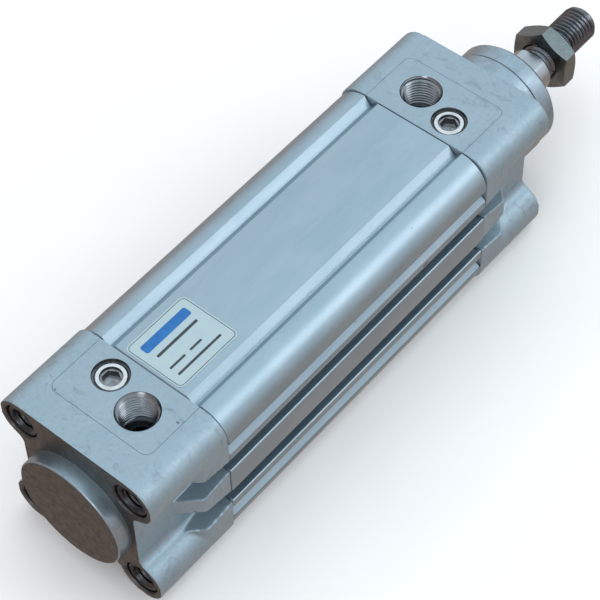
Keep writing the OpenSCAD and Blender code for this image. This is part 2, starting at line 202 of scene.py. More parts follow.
def arc_corner(before, corner, after, radius, steps):
    """Points of the arc that rounds one corner of a 2-D outline."""
    back = (before - corner).normalized()
    on = (after - corner).normalized()
    half_angle = math.acos(max(-1, min(1, back.dot(on)))) / 2
    reach = radius / math.tan(half_angle)
    middle = corner + (back + on).normalized() * (radius / math.sin(half_angle))
    start = corner + back * reach - middle
    end = corner + on * reach - middle
    sweep = start.angle_signed(end)
    turned = []
    for k in range(steps + 1):
        a = -sweep * k / steps
        turned.append(middle + Vector((start.x * math.cos(a) - start.y * math.sin(a),
                                       start.x * math.sin(a) + start.y * math.cos(a))))
    return turned


def rounded_outline(corners, inset=0.0):
    """A closed 2-D outline from (x, y, radius, steps) corners in counter-clockwise order,
    drawn in by inset before its corners are rounded."""
    spots = [Vector((c[0], c[1])) for c in corners]
    count = len(spots)
    moved = []
    for i, spot in enumerate(spots):
        along_in = (spot - spots[i - 1]).normalized()
        along_out = (spots[(i + 1) % count] - spot).normalized()
        normal_in = Vector((-along_in.y, along_in.x))
        normal_out = Vector((-along_out.y, along_out.x))
        mitre = (normal_in + normal_out) / (1 + normal_in.dot(normal_out))
        moved.append(spot + mitre * inset)
    outline = []
    for i, (x, y, radius, steps) in enumerate(corners):
        outline += arc_corner(moved[i - 1], moved[i], moved[(i + 1) % count], radius, steps)
    return outline


def threaded(name, pitch, crest, root, length, limits, matrix=Matrix(), turns=72):
    """A solid screw form about local Z from 0 to length. limits gives (height, radius) points
    between which the form is held inside when the crest is the larger radius, and outside
    when it is the smaller one."""
    rise = crest - root
    shape = [(0.0, root), (0.18, root), (0.50, root + 0.93 * rise), (0.56, crest), (0.64, crest),
             (0.70, root + 0.93 * rise)]
    hold = min if crest > root else max
    heights, radii = zip(*limits)
    rows = int(length / pitch + 2) * len(shape)
    points, faces = [], []
    for i in range(turns + 1):
        share = i / turns
        a = TAU * share
        for j in range(rows):
            phase, radius = shape[j % len(shape)]
            height = min(max((j // len(shape) + phase + share - 1) * pitch, 0), length)
            radius = hold(radius, float(np.interp(height, heights, radii)))
            points.append(matrix @ Vector((radius * math.cos(a), radius * math.sin(a), height)))
    for i in range(turns):
        for j in range(rows - 1):
            a, b = i * rows + j, (i + 1) * rows + j
            faces.append((a, b, b + 1, a + 1))
    for height, radius in (limits[0], limits[-1]):
        centre = len(points)
        points.append(matrix @ Vector((0, 0, height)))
        for i in range(turns):
            a, b = TAU * i / turns, TAU * (i + 1) / turns
            rim = len(points)
            points.append(matrix @ Vector((radius * math.cos(a), radius * math.sin(a), height)))
            points.append(matrix @ Vector((radius * math.cos(b), radius * math.sin(b), height)))
            faces.append((centre, rim, rim + 1))
    return mesh_of(name, points, faces, merge=2e-7)


# ---- materials ----
class Surface:
    """A node material around one Principled shader, in the object's own coordinates."""

    def __init__(self, name, metallic, roughness, **constants):
        self.material = bpy.data.materials.new(name)
        self.material.use_nodes = True
        self.tree = self.material.node_tree
        self.shader = self.tree.nodes["Principled BSDF"]
        self.shader.inputs["Metallic"].default_value = metallic
        self.shader.inputs["Roughness"].default_value = roughness
        for key, value in constants.items():
            self.shader.inputs[key.replace("_", " ")].default_value = value
        self.place = self.add("ShaderNodeTexCoord").outputs["Object"]

    def add(self, kind, **settings):
        node = self.tree.nodes.new(kind)
        for key, value in settings.items():
            setattr(node, key, value)
        return node

    def link(self, source, target):
        self.tree.links.new(source, target)

    def stretched(self, x, y, z, turn=(0, 0, 0)):
        """Coordinates in millimetres times x, y and z."""
        node = self.add("ShaderNodeMapping")
        node.inputs["Scale"].default_value = (x * 1000, y * 1000, z * 1000)
        node.inputs["Rotation"].default_value = turn
        self.link(self.place, node.inputs["Vector"])
        return node.outputs["Vector"]

    def noise(self, vector, scale, detail=4.0, rough=0.55, distortion=0.0):
        node = self.add("ShaderNodeTexNoise")
        self.link(vector, node.inputs["Vector"])
        node.inputs["Scale"].default_value = scale
        node.inputs["Detail"].default_value = detail
        node.inputs["Roughness"].default_value = rough
        node.inputs["Distortion"].default_value = distortion
        return node.outputs["Fac"]

    def nicks(self, vector, scale, size, share):
        """Sparse irregular marks: 1 on a mark. share is the part of the cells that carry one."""
        node = self.add("ShaderNodeTexVoronoi")
        self.link(vector, node.inputs["Vector"])
        node.inputs["Scale"].default_value = scale
        parts = self.add("ShaderNodeSeparateColor")
        self.link(node.outputs["Color"], parts.inputs[0])
        chosen = self.math("LESS_THAN", parts.outputs[0], share)
        reach = self.math("MULTIPLY", parts.outputs[1], size)
        fray = self.spread(self.noise(vector, scale * 6), 0, 1, -0.06, 0.06)
        ragged = self.math("ADD", node.outputs["Distance"], fray)
        return self.math("MULTIPLY", self.math("LESS_THAN", ragged, reach), chosen)

    def spread(self, value, low, high, to_low=0.0, to_high=1.0):
        node = self.add("ShaderNodeMapRange", interpolation_type="SMOOTHSTEP")
        self.link(value, node.inputs["Value"])
        limits = {"From Min": low, "From Max": high, "To Min": to_low, "To Max": to_high}
        for key, number in limits.items():
            node.inputs[key].default_value = number
        return node.outputs["Result"]

    def math(self, operation, a, b):
        node = self.add("ShaderNodeMath", operation=operation)
        for socket, value in zip(node.inputs, (a, b)):
            if isinstance(value, (int, float)):
                socket.default_value = value
            else:
                self.link(value, socket)
        return node.outputs["Value"]

    def mix(self, share, a, b):
        node = self.add("ShaderNodeMix", data_type="RGBA")
        self.link(share, node.inputs["Factor"])
        for socket, value in ((node.inputs[6], a), (node.inputs[7], b)):
            if isinstance(value, tuple):
                socket.default_value = (*value, 1)
            else:
                self.link(value, socket)
        return node.outputs[2]

    def around_x(self, x_scale, r_scale):
        """Coordinates that repeat round the X axis: x and the distance from the axis."""
        flat = self.add("ShaderNodeVectorMath", operation="MULTIPLY")
        flat.inputs[1].default_value = (0, 1, 1)
        self.link(self.place, flat.inputs[0])
        length = self.add("ShaderNodeVectorMath", operation="LENGTH")
        self.link(flat.outputs[0], length.inputs[0])
        parts = self.add("ShaderNodeSeparateXYZ")
        self.link(self.place, parts.inputs[0])
        joined = self.add("ShaderNodeCombineXYZ")
        self.link(self.math("MULTIPLY", parts.outputs[0], x_scale * 1000), joined.inputs[0])
        self.link(self.math("MULTIPLY", length.outputs["Value"], r_scale * 1000), joined.inputs[1])
        return joined.outputs[0]

    def colour(self, value):
        self.link(value, self.shader.inputs["Base Color"])

    def roughness(self, value):
        self.link(value, self.shader.inputs["Roughness"])

    def bump(self, *layers):
        """Bump from (height, distance in millimetres) layers."""
        before = None
        for height, distance in layers:
            node = self.add("ShaderNodeBump")
            node.inputs["Strength"].default_value = 1.0
            node.inputs["Distance"].default_value = distance * MM
            self.link(height, node.inputs["Height"])
            if before:
                self.link(before, node.inputs["Normal"])
            before = node.outputs["Normal"]
        self.link(before, self.shader.inputs["Normal"])


def anodised_aluminium():
    """Drawn, satin anodised extrusion: fine lines along X, pale stains and a few dark nicks."""
    s = Surface("barrel_anodised", 0.90, 0.34)
    lines = s.noise(s.stretched(0.02, 1, 1), 9, 3)
    stains = s.noise(s.stretched(0.35, 1, 1), 0.16, 4, 0.6, 0.6)
    grains = s.noise(s.stretched(1, 1, 1), 5.0, 2)
    nicks = s.nicks(s.stretched(0.6, 1, 1, (0, 0, 0.4)), 0.16, 0.11, 0.16)
    fine = s.nicks(s.stretched(1, 1, 1), 0.42, 0.14, 0.10)
    colour = s.mix(s.spread(stains, 0.3, 0.7), (0.335, 0.428, 0.482), (0.385, 0.47, 0.52))
    colour = s.mix(s.spread(lines, 0.35, 0.75, 0, 0.22), colour, (0.27, 0.36, 0.42))
    colour = s.mix(s.math("MULTIPLY", nicks, 0.65), colour, (0.10, 0.12, 0.135))
    colour = s.mix(s.math("MULTIPLY", fine, 0.5), colour, (0.15, 0.18, 0.20))
    s.colour(colour)
    s.roughness(s.spread(grains, 0.2, 0.8, 0.30, 0.38))
    s.bump((lines, 0.006), (grains, 0.006))
    return s.material


def cast_aluminium():
    """Blasted die casting: faintly mottled, with grey smudges and dark nicks."""
    s = Surface("cap_cast", 0.72, 0.44)
    cloud = s.noise(s.stretched(1, 1, 1), 0.11, 5, 0.6, 0.8)
    mottle = s.noise(s.stretched(1, 1, 1), 1.1, 4, 0.6)
    grain = s.noise(s.stretched(1, 1, 1), 4.5, 3, 0.6)
    smudge = s.noise(s.stretched(1.2, 1, 1, (0.5, 0.2, 0.9)), 0.23, 6, 0.66, 1.2)
    nicks = s.nicks(s.stretched(1, 0.7, 1, (0, 0, 0.7)), 0.30, 0.13, 0.22)
    colour = s.mix(s.spread(cloud, 0.35, 0.7), (0.325, 0.415, 0.465), (0.355, 0.44, 0.49))
    colour = s.mix(s.spread(mottle, 0.35, 0.75, 0, 0.16), colour, (0.235, 0.30, 0.34))
    colour = s.mix(s.spread(smudge, 0.54, 0.72, 0, 0.5), colour, (0.19, 0.225, 0.25))
    colour = s.mix(s.math("MULTIPLY", nicks, 0.75), colour, (0.075, 0.085, 0.095))
    s.colour(colour)
    s.roughness(s.spread(mottle, 0.25, 0.75, 0.36, 0.48))
    s.bump((mottle, 0.02), (grain, 0.02))
    return s.material


def turned_metal(name, light, dark, roughness, fineness=6.0, metallic=1.0, depth=0.006):
    """Metal turned about the X axis, with fine rings, stains and a little tarnish."""
    s = Surface(name, metallic, roughness)
    rings = s.noise(s.around_x(1, 1), fineness, 3, 0.6)
    stains = s.noise(s.stretched(1, 1, 1), 0.35, 5, 0.6, 0.8)
    speck = s.noise(s.stretched(1, 1, 1), 2.6, 5, 0.7)
    colour = s.mix(s.spread(stains, 0.35, 0.75), light, tuple((a + b) / 2 for a, b in zip(light, dark)))
    colour = s.mix(s.spread(speck, 0.62, 0.8, 0, 0.7), colour, dark)
    s.colour(colour)
    s.roughness(s.spread(stains, 0.2, 0.8, roughness * 0.8, roughness * 1.25))
    s.bump((rings, depth), (speck, depth))
    return s.material


def plated_steel(name, light, dark, roughness, metallic=1.0, worn=0.8):
    """Plated or blackened steel, mottled and slightly worn."""
    s = Surface(name, metallic, roughness)
    cloud = s.noise(s.stretched(1, 1, 1), 0.5, 5, 0.6, 0.6)
    grain = s.noise(s.stretched(1, 1, 1), 6, 3, 0.6)
    wear = s.noise(s.stretched(1, 1, 1), 1.7, 6, 0.7, 0.6)
    colour = s.mix(s.spread(cloud, 0.3, 0.7), light, dark)
    colour = s.mix(s.spread(wear, 0.6, 0.78, 0, worn), colour, tuple(c * 0.45 for c in dark))
    s.colour(colour)
    s.roughness(s.spread(cloud, 0.25, 0.75, roughness * 0.75, roughness * 1.3))
    s.bump((grain, 0.008), (wear, 0.01))
    return s.material


def moulded(name, light, dark, roughness, grain_scale=3.0, depth=0.01):
    """Rubber, seal or plastic with a faint moulded grain."""
    s = Surface(name, 0.0, roughness, Specular_IOR_Level=0.4)
    cloud = s.noise(s.stretched(1, 1, 1), 0.4, 4)
    grain = s.noise(s.stretched(1, 1, 1), grain_scale, 4, 0.65)
    s.colour(s.mix(s.spread(cloud, 0.3, 0.7), light, dark))
    s.roughness(s.spread(grain, 0.3, 0.7, roughness * 0.85, min(1, roughness * 1.15)))
    s.bump((grain, depth))
    return s.material


def label_foil():
    """Pale green metallised film with a slight mottle."""
    s = Surface("label_foil", 0.55, 0.36)
    cloud = s.noise(s.stretched(1, 1, 1), 0.3, 4, 0.6, 0.5)
    grain = s.noise(s.stretched(1, 1, 1), 3.5, 3)
    s.colour(s.mix(s.spread(cloud, 0.3, 0.7), (0.43, 0.535, 0.565), (0.465, 0.555, 0.56)))
    s.roughness(s.spread(grain, 0.3, 0.7, 0.32, 0.42))
    s.bump((grain, 0.004))
    return s.material


MATERIALS = {
    "barrel_aluminium": anodised_aluminium(),
    "cap_casting": cast_aluminium(),
    "dark_steel": plated_steel("screw_black_oxide", (0.10, 0.105, 0.11), (0.045, 0.046, 0.048), 0.34),
    "rod_steel": turned_metal("rod_ground_steel", (0.46, 0.49, 0.51), (0.36, 0.385, 0.40), 0.24,
                              depth=0.003),
    "nut_steel": plated_steel("nut_zinc", (0.215, 0.245, 0.25), (0.17, 0.195, 0.19), 0.26, worn=0.45),
    "bright_steel": turned_metal("screw_bright", (0.74, 0.74, 0.73), (0.33, 0.33, 0.32), 0.22),
    "seal_rubber": moulded("seal_black_rubber", (0.025, 0.025, 0.026), (0.045, 0.045, 0.046), 0.6),
    "seal_green": moulded("seal_green_rubber", (0.035, 0.075, 0.05), (0.055, 0.10, 0.07), 0.5),
    "ring_plastic": moulded("guide_plastic", (0.045, 0.05, 0.058), (0.075, 0.08, 0.09), 0.45),
    "bearing_bronze": turned_metal("bearing_bronze", (0.62, 0.45, 0.24), (0.33, 0.23, 0.12), 0.45),
    "magnet": moulded("magnet_sintered", (0.05, 0.05, 0.052), (0.09, 0.09, 0.092), 0.5, 6.0, 0.02),
    "label": label_foil(),
    "piston_aluminium": turned_metal("piston_turned", (0.72, 0.73, 0.74), (0.45, 0.46, 0.47), 0.32, 4.0),
}
# in the order of the numbers that cap_surface gives
CAP_MATERIALS = (
    MATERIALS["cap_casting"],
    # port: machined thread, its colour darkened as painted shade inside the hole
    turned_metal("port_machined_painted_shade", (0.27, 0.29, 0.31), (0.13, 0.14, 0.15), 0.20, 3.0),
    # bores: machined holes, their colour painted dark as shade in the recesses
    plated_steel("bore_machined_painted_shade", (0.14, 0.145, 0.15), (0.07, 0.072, 0.075), 0.42),
    # faced end: machined, its colour darkened as painted shade
    plated_steel("end_faced_painted_shade", (0.113, 0.108, 0.100), (0.106, 0.101, 0.094), 0.38, worn=0.12),
    turned_metal("collar_turned", (0.35, 0.43, 0.48), (0.22, 0.27, 0.30), 0.32, 8.0, 0.9),
)
THREAD_STEEL = plated_steel("thread_dark_steel", (0.20, 0.21, 0.23), (0.13, 0.138, 0.15), 0.17, worn=0.4)
# the cushion screws' steel, darkened in their sockets as painted shade
SOCKET_PAINTED_SHADE = plated_steel("socket_painted_shade", (0.34, 0.345, 0.35), (0.20, 0.205, 0.21), 0.20, worn=0.4)
INK_DARK = moulded("print_dark", (0.028, 0.034, 0.04), (0.05, 0.058, 0.065), 0.45, 6.0, 0.002)
INK_BLUE = moulded("print_blue", (0.008, 0.115, 0.36), (0.015, 0.15, 0.42), 0.40, 6.0, 0.002)
SLOT_OF = {p["node"]: p["material_slot"] for p in frame["record"]["subparts"]}


def place(name, mesh, slot, body, *replaced, sharp_deg=32, materials=(), kind_of=None):
    """Finish a built mesh: shading, body, slot and the nodes it stands for. It is smooth except
    at edges sharper than sharp_deg. It wears its slot's material, or the given materials, and
    then kind_of says which of them a face has."""
    mesh.materials.clear()
    for material in materials or (MATERIALS[slot],):
        mesh.materials.append(material)
    if kind_of:
        mesh.polygons.foreach_set("material_index", [kind_of(face) for face in mesh.polygons])
    mesh.shade_smooth()
    mesh.set_sharp_from_angle(angle=math.radians(sharp_deg))
    piece = linked(name, mesh)
    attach(piece, body)
    if replaced:
        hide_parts(*replaced)
    return piece


# ---- barrel ----
BORE_R, BORE_LEAD, SCREW_HOLE_R = 16 * MM, 0.4 * MM, 3 * MM
GROOVE_IN, GROOVE_OUT, GROOVE_DEPTH = 10.7 * MM, 14.9 * MM, 2.2 * MM
SLOT_IN, SLOT_OUT, SLOT_LIP = 4.1 * MM, 8.3 * MM, 1.3 * MM
SLOT_WIDE, SLOT_DEPTH = 0.8 * MM, 4.5 * MM
CORNER_R = 7.8 * MM
EDGE_R, SLOT_EDGE_R = 0.3 * MM, 0.45 * MM
JOINT_GAP, JOINT_DEPTH, JOINT_CHAMFER = 0.15 * MM, 0.5 * MM, 0.2 * MM


def barrel_corners():
    """Corners of the section in the Y-Z plane, counter-clockwise, side by side."""
    half_v = [(GROOVE_OUT, HALF, EDGE_R, 3),
              ((GROOVE_IN + GROOVE_OUT) / 2, HALF - GROOVE_DEPTH, 0.2 * MM, 3),
              (GROOVE_IN, HALF, EDGE_R, 3)]
    wide_in, wide_out = SLOT_IN - SLOT_WIDE, SLOT_OUT + SLOT_WIDE
    under, floor = HALF - SLOT_LIP, HALF - SLOT_DEPTH
    half_slot = [(SLOT_OUT, HALF, SLOT_EDGE_R, 5), (SLOT_OUT, under, 0.12 * MM, 2),
                 (wide_out, under, 0.2 * MM, 2), (wide_out, floor, 0.4 * MM, 3),
                 (wide_in, floor, 0.4 * MM, 3), (wide_in, under, 0.2 * MM, 2),
                 (SLOT_IN, under, 0.12 * MM, 2), (SLOT_IN, HALF, SLOT_EDGE_R, 5)]
    corners = []
    for quarter in range(4):
        half = half_v + (half_slot if quarter % 2 else [])
        side = [(HALF, HALF, CORNER_R, 20)] + half
        side += [(-u, v, r, n) for u, v, r, n in reversed(half)]
        c, s = round(math.cos(quarter * math.pi / 2)), round(math.sin(quarter * math.pi / 2))
        corners += [(c * u - s * v, s * u + c * v, r, n) for u, v, r, n in side]
    return corners


def barrel_extrusion():
    """Outer skin, bore and screw holes as open tubes, with the end faces filled between them."""
    corners = barrel_corners()
    steps = [(0, JOINT_DEPTH), (JOINT_GAP, JOINT_DEPTH), (JOINT_GAP, JOINT_CHAMFER),
             (JOINT_GAP + JOINT_CHAMFER, 0.0)]
    ends = [(X_REAR + x, inset) for x, inset in steps]
    ends += [(X_FRONT - x, inset) for x, inset in reversed(steps)]
    tubes = [[[Vector((x, p.x, p.y)) for p in rounded_outline(corners, inset)] for x, inset in ends]]
    bore = [(X_REAR, BORE_R + BORE_LEAD), (X_REAR + BORE_LEAD, BORE_R),
            (X_FRONT - BORE_LEAD, BORE_R), (X_FRONT, BORE_R + BORE_LEAD)]
    screw_hole = [(X_REAR, SCREW_HOLE_R), (X_FRONT, SCREW_HOLE_R)]
    for y, z, turns, profile in [(0, 0, 128, bore)] + [(y, z, 48, screw_hole) for y, z in SCREW_SPOTS]:
        angles = [TAU * i / turns for i in range(turns)]
        tubes.append([[Vector((x, y + r * math.cos(a), z + r * math.sin(a))) for a in angles]
                      for x, r in profile])
    points, faces = [], []
    for tube in tubes:
        new_points, new_faces = loft(tube)
        faces += [tuple(i + len(points) for i in face) for face in new_faces]
        points += new_points
    mesh = mesh_of("barrel", points, faces)
    work = bmesh.new()
    work.from_mesh(mesh)
    for x in (X_REAR, X_FRONT):
        rim = [e for e in work.edges if e.is_boundary and all(abs(v.co.x - x) < 1e-6 for v in e.verts)]
        bmesh.ops.triangle_fill(work, edges=rim, use_beauty=True, use_dissolve=False)
    bmesh.ops.triangulate(work, faces=work.faces)
    bmesh.ops.recalc_face_normals(work, faces=work.faces)
    work.to_mesh(mesh)
    work.free()
    return mesh


# ---- caps ----
# holes and their plugs, in cap coordinates: radii about a hole's own axis, depths from the face
SCREW_HEAD_R, SCREW_SHANK_R, SCREW_SEAT = 4.65 * MM, 3.05 * MM, 17 * MM
PORT_CREST_R, PORT_ROOT_R, PORT_PITCH, PORT_DEPTH = 4.28 * MM, 4.86 * MM, 0.907 * MM, 10.5 * MM
PORT_RELIEF_R, PORT_MOUTH_R, PORT_PASSAGE_R = 4.9 * MM, 5.6 * MM, 2.8 * MM
NEEDLE_R, SEAL_SEAT_R, ADJUSTER_R = 1.2 * MM, 3.05 * MM, 3.9 * MM
AXIS_PLUG_R, HOLE_PLUG_R = 12.3 * MM, 4.9 * MM
SPIGOT_END = CAP + 9 * MM
CHAMBER_END = 12 * MM
CHAMBER_R, CUSHION_SEAL_R, CUSHION_HOLE_R = 9.6 * MM, 12 * MM, 7.5 * MM
COLLAR_END, WIPER_SEAT = -16 * MM, -8.5 * MM
WIPER_R, BEARING_END, BEARING_R = 9.5 * MM, -6 * MM, 6.6 * MM
VOXEL = 0.3 * MM


def pad_groove(to_world):
    """A shallow V groove round the port pad, as a closed tool."""
    near, side, far = 8.0 * MM, 14.7 * MM, CAP + 2 * MM
    corners = [(far, side, 2 * MM, 4), (near, side, 2.2 * MM, 8),
               (near, -side, 2.2 * MM, 8), (far, -side, 2 * MM, 4)]
    width, depth = 0.22 * MM, 0.13 * MM
    rings = []
    for out, height in ((-width, 0.3 * MM), (0, -depth), (width, 0.3 * MM)):
        rings.append([Vector((p.x, p.y, HALF + height)) for p in rounded_outline(corners, out)])
    rings.append(rings[0])
    groove = mesh_of("pad_groove", *loft(rings))
    groove.transform(to_world)
    return groove


def cap_body(node, to_world, plug_start):
    """The casting without its machined holes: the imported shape, filled and softened. The plug on
    the axis starts at x = plug_start."""
    fill = [cylinder(0, CAP, HOLE_PLUG_R, to_world @ along_x(0, y, z), 48) for y, z in SCREW_SPOTS]
    fill.append(cylinder(plug_start, SPIGOT_END, AXIS_PLUG_R, to_world @ ALONG_X))
    for spot, radius in ((PORT, PORT_MOUTH_R), (ADJUSTER, HOLE_PLUG_R)):
        fill.append(cylinder(3 * MM, HALF, radius, to_world @ Matrix.Translation((spot.x, spot.y, 0))))
    solid = combine(node + "_solid", packed(node), fill, "UNION")
    return modified(node + "_cast", solid,
                    ("REMESH", {"mode": "VOXEL", "voxel_size": VOXEL}),
                    ("SMOOTH", {"factor": 0.5, "iterations": 3}),
                    ("DECIMATE", {"decimate_type": "DISSOLVE", "angle_limit": math.radians(1.2)}),
                    ("TRIANGULATE", {}))


def screw_bores(to_world):
    """Four stepped bores for the cap screws, with a small lead at the mouth."""
    lead, past = 0.35 * MM, CAP + MM
    mouth = SCREW_HEAD_R + lead
    profile = [(-MM, 0), (-MM, mouth), (0, mouth), (lead, SCREW_HEAD_R), (SCREW_SEAT, SCREW_HEAD_R),
               (SCREW_SEAT, SCREW_SHANK_R), (past, SCREW_SHANK_R), (past, 0)]
    return [lathe("screw_bore", profile, to_world @ along_x(0, y, z), 72) for y, z in SCREW_SPOTS]


def port_hole(to_world):
    """A chamfered pipe thread with its run-out, and the air passage under it."""
    start = Matrix.Translation((PORT.x, PORT.y, HALF + 0.5 * MM)) @ Matrix.Rotation(math.pi, 4, "X")
    limits = [(0, PORT_MOUTH_R), (0.4 * MM, 5.32 * MM), (0.75 * MM, 5.15 * MM), (1.6 * MM, PORT_CREST_R),
              (PORT_DEPTH - 1.2 * MM, PORT_CREST_R), (PORT_DEPTH - MM, PORT_RELIEF_R),
              (PORT_DEPTH, PORT_RELIEF_R)]
    thread = threaded("port_thread", PORT_PITCH, PORT_CREST_R, PORT_ROOT_R, PORT_DEPTH, limits,
                      to_world @ start, 96)
    passage = cylinder(5 * MM, HALF - 9.9 * MM, PORT_PASSAGE_R,
                       to_world @ Matrix.Translation((PORT.x, PORT.y, 0)), 48)
    return [thread, passage]


def adjuster_hole(to_world):
    """The stepped hole that a cushion screw sits in, with a recess round its head."""
    needle_end, seal_end = 11 * MM, 14.5 * MM
    profile = [(4 * MM, 0), (4 * MM, NEEDLE_R), (needle_end, NEEDLE_R), (needle_end, SEAL_SEAT_R),
               (seal_end, SEAL_SEAT_R), (seal_end, ADJUSTER_R), (HALF - 0.8 * MM, ADJUSTER_R),
               (HALF - 0.75 * MM, 4.40 * MM), (HALF - 0.1 * MM, 4.45 * MM),
               (HALF + MM, 4.75 * MM), (HALF + MM, 0)]
    return lathe("adjuster_hole", profile, to_world @ Matrix.Translation((ADJUSTER.x, ADJUSTER.y, 0)))


def chamber_tool(to_world, start, steps):
    """The stepped hole on the axis: a cap's own (x, radius) steps, then those that both caps have."""
    past = SPIGOT_END + MM
    seal_low, seal_high = SPIGOT_END - 4.2 * MM, SPIGOT_END - MM
    inner = [(CHAMBER_END, CHAMBER_R), (seal_low, CHAMBER_R), (seal_low, CUSHION_SEAL_R),
             (seal_high, CUSHION_SEAL_R), (seal_high, CHAMBER_R), (past, CHAMBER_R), (past, 0)]
    return lathe("chamber", [(start, 0)] + steps + inner, to_world @ ALONG_X)


def cap_surface(spot, normal):
    """Number of the material at a spot in cap coordinates: 0 cast, 1 port, darkened as painted shade,
    2 bores, painted dark as shade, 3 faced end, darkened as painted shade, 4 turned."""
    under_top = HALF - 0.01 * MM
    # faces inside the port hole, coloured darker as painted shade
    if math.hypot(spot.x - PORT.x, spot.y - PORT.y) < 5.3 * MM and 4 * MM < spot.z < under_top:
        return 1
    # the adjuster recess and the screw bores get the colour painted dark as shade
    if math.hypot(spot.x - ADJUSTER.x, spot.y - ADJUSTER.y) < 4.6 * MM and 3 * MM < spot.z < under_top:
        return 2
    if spot.x > 0.01 * MM and math.hypot(abs(spot.y) - SCREW, abs(spot.z) - SCREW) < 5.05 * MM:
        return 2
    # the outer end faces, whose colour is darkened as painted shade
    if spot.x < 0.02 * MM and normal.x < -0.9:
        return 3
    return 4 if spot.x < -0.05 * MM or math.hypot(spot.y, spot.z) < AXIS_PLUG_R else 0


def finish_cap(name, node, to_world, boss, axis_tool):
    """A whole cap: cast body, crisp turned boss with the given (x, radius) profile, and holes."""
    tip = boss[-1][0]
    body = cap_body(node, to_world, tip + 0.4 * MM)
    beyond_face = cylinder(-20 * MM, 0, 40 * MM, to_world @ ALONG_X)
    body = combine(name, body, [beyond_face], "DIFFERENCE")
    profile = [(MM, 0), (MM, boss[0][1])] + boss + [(tip, 0)]
    body = combine(name, body, [lathe("boss", profile, to_world @ ALONG_X, 160)], "UNION")
    holes = [pad_groove(to_world), *screw_bores(to_world), *port_hole(to_world),
             adjuster_hole(to_world), axis_tool]
    solid = combine(name, body, holes, "DIFFERENCE")
    to_cap = to_world.inverted()
    turn = to_cap.to_3x3()
    piece = place(name, solid, "cap_casting", "housing", node, sharp_deg=35, materials=CAP_MATERIALS,
                  kind_of=lambda face: cap_surface(to_cap @ face.center, turn @ face.normal))
    weighted = piece.modifiers.new("weighted", "WEIGHTED_NORMAL")
    weighted.keep_sharp = True


def rear_cap():
    """The rear cap with its centring disc."""
    r, end = COLLAR_R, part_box("rear_cap")[0].x - X_BACK
    disc = [(0.12 * MM, r), (-0.1 * MM, r), (end + 0.45 * MM, r), (end + 0.3 * MM, r - 0.04 * MM),
            (end + 0.04 * MM, r - 0.3 * MM), (end, r - 0.45 * MM)]
    finish_cap("rear_cap_casting", "rear_cap", REAR_CAP, disc, chamber_tool(REAR_CAP, CHAMBER_END, []))


def front_cap():
    """The front cap with its collar, a narrow seam and a slightly thinner nose."""
    past = COLLAR_END - MM
    steps = [(past, WIPER_R), (WIPER_SEAT, WIPER_R), (WIPER_SEAT, BEARING_R), (BEARING_END, BEARING_R),
             (BEARING_END, CUSHION_HOLE_R), (CHAMBER_END, CUSHION_HOLE_R)]
    r, seam, nose, end = COLLAR_R, -COLLAR_LEN, COLLAR_R - 0.25 * MM, COLLAR_END
    neck = [(0.12 * MM, r), (seam + 0.15 * MM, r), (seam + 0.02 * MM, r - 0.14 * MM), (seam, r - 0.5 * MM),
            (seam - 0.36 * MM, r - 0.5 * MM), (seam - 0.4 * MM, nose - 0.1 * MM), (seam - 0.52 * MM, nose),
            (end + 1.35 * MM, nose), (end + 1.1 * MM, nose - 0.1 * MM), (end + 0.15 * MM, nose - MM),
            (end, nose - 1.2 * MM)]
    finish_cap("front_cap_casting", "front_cap", FRONT_CAP, neck, chamber_tool(FRONT_CAP, past, steps))


# ---- rod and screws ----
EDGE_BEVEL = {"segments": 3, "limit_method": "ANGLE", "angle_limit": math.radians(30)}
ROD_PITCH, TAP_PITCH = 1.25 * MM, 1.0 * MM
TAP_R, TAP_DEPTH = 3.0 * MM, 13.5 * MM
SOCKET_R = 2.72 * MM


def rod_piece():
    """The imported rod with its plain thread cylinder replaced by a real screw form."""
    plain_thread = cylinder(0, 30 * MM, 8 * MM, along_x(THREAD_START))
    stub = combine("stub", packed("piston_rod"), [plain_thread], "DIFFERENCE")
    stub = modified("stub", stub, ("BEVEL", {"width": 0.18 * MM, **EDGE_BEVEL}))
    sunk = 0.6 * MM
    length = ROD_TIP - THREAD_START + sunk
    root = THREAD_R - 0.77 * MM
    neck = root - 0.05 * MM
    limits = [(0, neck), (sunk + 1.5 * MM, neck), (sunk + 2.4 * MM, THREAD_R),
              (length - 0.95 * MM, THREAD_R), (length, neck)]
    screw = threaded("screw", ROD_PITCH, THREAD_R - 0.03 * MM, root, length, limits,
                     along_x(THREAD_START - sunk))
    solid = combine("threaded_rod", stub, [screw], "UNION")
    profile = [(-2.4 * MM, 0), (-2.1 * MM, 0.5 * MM), (-1.2 * MM, 0.5 * MM), (0.1 * MM, 1.5 * MM),
               (0.1 * MM, 0)]
    centre = lathe("centre", profile, along_x(ROD_TIP), 48)
    solid = combine("threaded_rod", solid, [centre], "DIFFERENCE")
    place("threaded_rod", solid, "rod_steel", "rod", "piston_rod", sharp_deg=38,
          materials=(MATERIALS["rod_steel"], THREAD_STEEL),
          kind_of=lambda face: int(face.center.x > THREAD_START + 0.1 * MM))


def cap_screws(name, node, face, turn=Matrix()):
    """The four screws of a cap with threads cut into their heads, from the x of the cap's face
    along +X, or along -X with a half turn."""
    limits = [(0, 3.5 * MM), (0.5 * MM, 3.3 * MM), (1.2 * MM, TAP_CORE_R), (12.5 * MM, TAP_CORE_R),
              (13 * MM, 3.02 * MM), (TAP_DEPTH, 3.02 * MM)]
    taps = []
    for y, z in SCREW_SPOTS:
        at = Matrix.Translation((face, y, z)) @ turn @ ALONG_X
        taps.append(threaded("tap", TAP_PITCH, TAP_CORE_R, TAP_R, TAP_DEPTH, limits, at, 48))
    solid = combine(name, packed(node), taps, "DIFFERENCE")
    place(name, solid, "dark_steel", "housing", node, sharp_deg=38)


